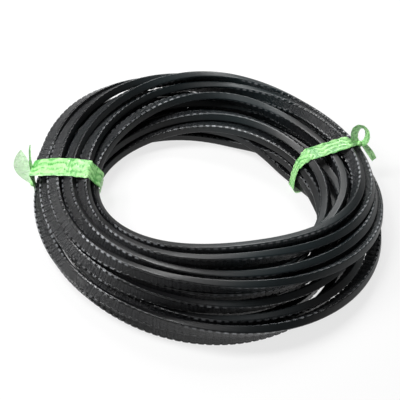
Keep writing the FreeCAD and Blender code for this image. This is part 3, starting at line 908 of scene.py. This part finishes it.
def make_right_tie(strip, film):
    """The narrow band at the right, its knot, the loop of the bow and the end below it."""
    outward, side = tie_directions(RIGHT_AZIMUTH)
    spot = make_band(strip, "right_band", "right_tie_band", RIGHT_AZIMUTH, width=0.020, wall_width=0.0105,
                     drawn=0.011, level=0.040, seed=4.0, material=film)
    knot = make_knot("right_knot", "right_tie_knot", RIGHT_AZIMUTH, spot, RIGHT_KNOT, 7.0, film)
    across = (outward - side * 0.9).normalized()
    upright = Vector((0, 0.3, 0.95))
    line, sides, wide = [], [], []
    for k in range(61):
        turn = math.tau * (k / 60 - 0.25)
        up = LOOP_HALF_HEIGHT * (1 + math.sin(turn))
        line.append(knot + across * (LOOP_HALF_WIDTH * math.cos(turn) + 0.08 * up) + upright * (up + 0.001))
        radial = across * math.cos(turn) + upright * math.sin(turn)
        sides.append(across.cross(upright) * 0.75 + radial * 0.65)
        wide.append(0.0050 + LOOP_FILM * math.sin(math.pi * k / 60) ** 0.7)
    ribbon("right_loop", "right_tie_loop", line, sides, wide, cup=0.10, folds=2.0, depth=0.0009, seed=9.0,
           material=film)
    line, sides, wide = [], [], []
    for s in np.arange(30) / 29:
        reach = outward * (0.002 + END_OUT * s ** 0.8)
        line.append(knot + reach - side * (0.001 + END_ASIDE * s) - Vector((0, 0, END_DOWN * s)))
        sides.append(Vector((0.64, 0.71, 0)))
        wide.append(0.0038 + END_WIDTH * math.sin(math.pi * (0.12 + 0.62 * s)))
    ribbon("right_end", "right_tie_tail", line, sides, wide, cup=0.22, folds=1.6, depth=0.0008, seed=11.0,
           material=film)


# Stage, light and camera

PHOTO_WIDTH = 400
SENSOR_WIDTH = 36
CAMERA_DISTANCE = 1.5
CAMERA_ELEVATION = math.radians(45)
CAMERA_AIM = AXIS + Vector((-0.0104, -0.0098, 0.032))
METRES_PER_PIXEL = 0.00116
FLOOR_REACH = 6.0
FLOOR_GREY = 0.86
FLOOR_WHITE_SHARE = 0.75
SKY_LEVEL = 0.12
SKY_FADE = (0.05, 0.30)
# Each lamp's name, place and power in watts
LAMP_SIZE = 0.50
LAMPS = (
    ("lamp_behind", (0.10, 1.25, 1.15), 15),
    ("lamp_above", (-0.62, 0.22, 1.42), 13),
    ("lamp_left", (-1.05, 0.10, 0.95), 13),
)


def add_camera():
    """The photograph's view: a long lens from the front, looking down."""
    camera = bpy.data.cameras.new("camera")
    camera.sensor_width = SENSOR_WIDTH
    camera.lens = CAMERA_DISTANCE / METRES_PER_PIXEL / PHOTO_WIDTH * camera.sensor_width
    camera.clip_start = 0.05
    seen = bpy.data.objects.new("camera", camera)
    back = Vector((0, -math.cos(CAMERA_ELEVATION), math.sin(CAMERA_ELEVATION)))
    seen.location = CAMERA_AIM + back * CAMERA_DISTANCE
    seen.rotation_euler = back.to_track_quat("Z", "Y").to_euler()
    bpy.context.scene.collection.objects.link(seen)
    bpy.context.scene.camera = seen


def add_lamp(name, place, power):
    """A square soft lamp that looks at the coil."""
    lamp = bpy.data.lights.new(name, "AREA")
    lamp.size = LAMP_SIZE
    lamp.energy = power
    held = bpy.data.objects.new(name, lamp)
    held.location = place
    held.rotation_euler = Vector(place).to_track_quat("Z", "Y").to_euler()
    bpy.context.scene.collection.objects.link(held)


def add_floor():
    """A white floor. To the camera and in reflections it is nearly all white, and it keeps a soft shadow."""
    mesh = bpy.data.meshes.new("floor")
    corners = [(-FLOOR_REACH, -FLOOR_REACH, 0), (FLOOR_REACH, -FLOOR_REACH, 0)]
    corners += [(FLOOR_REACH, FLOOR_REACH, 0), (-FLOOR_REACH, FLOOR_REACH, 0)]
    mesh.from_pydata(corners, [], [(0, 1, 2, 3)])
    floor = bpy.data.objects.new("floor", mesh)
    bpy.context.scene.collection.objects.link(floor)
    material, tree, shader = new_material("floor_white")
    shader.inputs["Base Color"].default_value = (FLOOR_GREY, FLOOR_GREY, FLOOR_GREY, 1)
    shader.inputs["Roughness"].default_value = 0.9
    shader.inputs["Specular IOR Level"].default_value = 0.1
    rays = tree.nodes.new("ShaderNodeLightPath")
    seen = math_node(tree, "MAXIMUM", rays.outputs["Is Camera Ray"], rays.outputs["Is Glossy Ray"])
    seen = math_node(tree, "MAXIMUM", seen, rays.outputs["Is Transmission Ray"])
    white = tree.nodes.new("ShaderNodeEmission")
    mixed = tree.nodes.new("ShaderNodeMixShader")
    tree.links.new(times(tree, seen, FLOOR_WHITE_SHARE), mixed.inputs[0])
    tree.links.new(shader.outputs[0], mixed.inputs[1])
    tree.links.new(white.outputs[0], mixed.inputs[2])
    tree.links.new(mixed.outputs[0], tree.nodes["Material Output"].inputs["Surface"])
    mesh.materials.append(material)


def add_light():
    """Plain studio light: a world that is pale at the horizon and dim above, and three soft lamps."""
    world = bpy.data.worlds.new("world")
    world.use_nodes = True
    tree = world.node_tree
    way = tree.nodes.new("ShaderNodeTexCoord").outputs["Generated"]
    split = tree.nodes.new("ShaderNodeSeparateXYZ")
    tree.links.new(way, split.inputs["Vector"])
    glow = range_node(tree, split.outputs["Z"], *SKY_FADE, 1.0, SKY_LEVEL)
    tree.links.new(glow, tree.nodes["Background"].inputs["Strength"])
    tree.nodes["Background"].inputs["Color"].default_value = (1, 1, 1, 1)
    bpy.context.scene.world = world
    for name, place, power in LAMPS:
        add_lamp(name, place, power)


# The pieces put together


def add_piece(mesh, material, nodes, name):
    """Links a finished piece, gives it its material, puts it under the root and hides the model's nodes that
    it stands for.
    """
    piece = bpy.data.objects.new(name, mesh)
    bpy.context.scene.collection.objects.link(piece)
    mesh.materials.append(material)
    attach(piece, "root")
    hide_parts(*nodes)
    return piece


def make_strip():
    """The coiled strip as one cord."""
    wound = wound_points()
    radius, rise, roll = settle(wound)
    points = [in_frame(a, r, z) for a, r, z in zip(wound[:, 0], radius, rise, strict=True)]
    first = points[0] + (points[0] - points[1]).normalized() * FIRST_RUN
    last = in_frame(LEFT_AZIMUTH, radius[-1], rise[-1])
    points = [first] + points + [last]
    line, lengths = nurbs_line(points)
    rolls = np.concatenate(([roll[0]], (roll[1:] + roll[:-1]) / 2, [roll[-1]]))
    roll_on_line = np.interp(np.linspace(0, 1, len(line)), np.linspace(0, 1, len(rolls)), rolls)
    mesh, middle = strip_mesh(line, lengths, lambda at: np.interp(at, lengths, roll_on_line), "strip")
    strip = add_piece(mesh, rubber_material(), ("strip_cover", "strip_core"), "strip")
    flat_shade = strip.modifiers.new("flat_faces", "WEIGHTED_NORMAL")
    flat_shade.keep_sharp = True
    flat_shade.weight = 90
    return strip


the_strip = make_strip()
# Each film's second colour is the painted shade in its folds, also used for its deeper patches
film_thick = film_material("film", (0.47, 0.90, 0.36), (0.08, 0.38, 0.07), 0.94)
film_thin = film_material("film_thin", (0.52, 0.86, 0.44), (0.26, 0.64, 0.20), 0.68)
make_left_tie(the_strip, film_thick, film_thin)
make_right_tie(the_strip, film_thick)
add_floor()
add_light()
add_camera()

bpy.context.scene.view_settings.view_transform = "Standard"
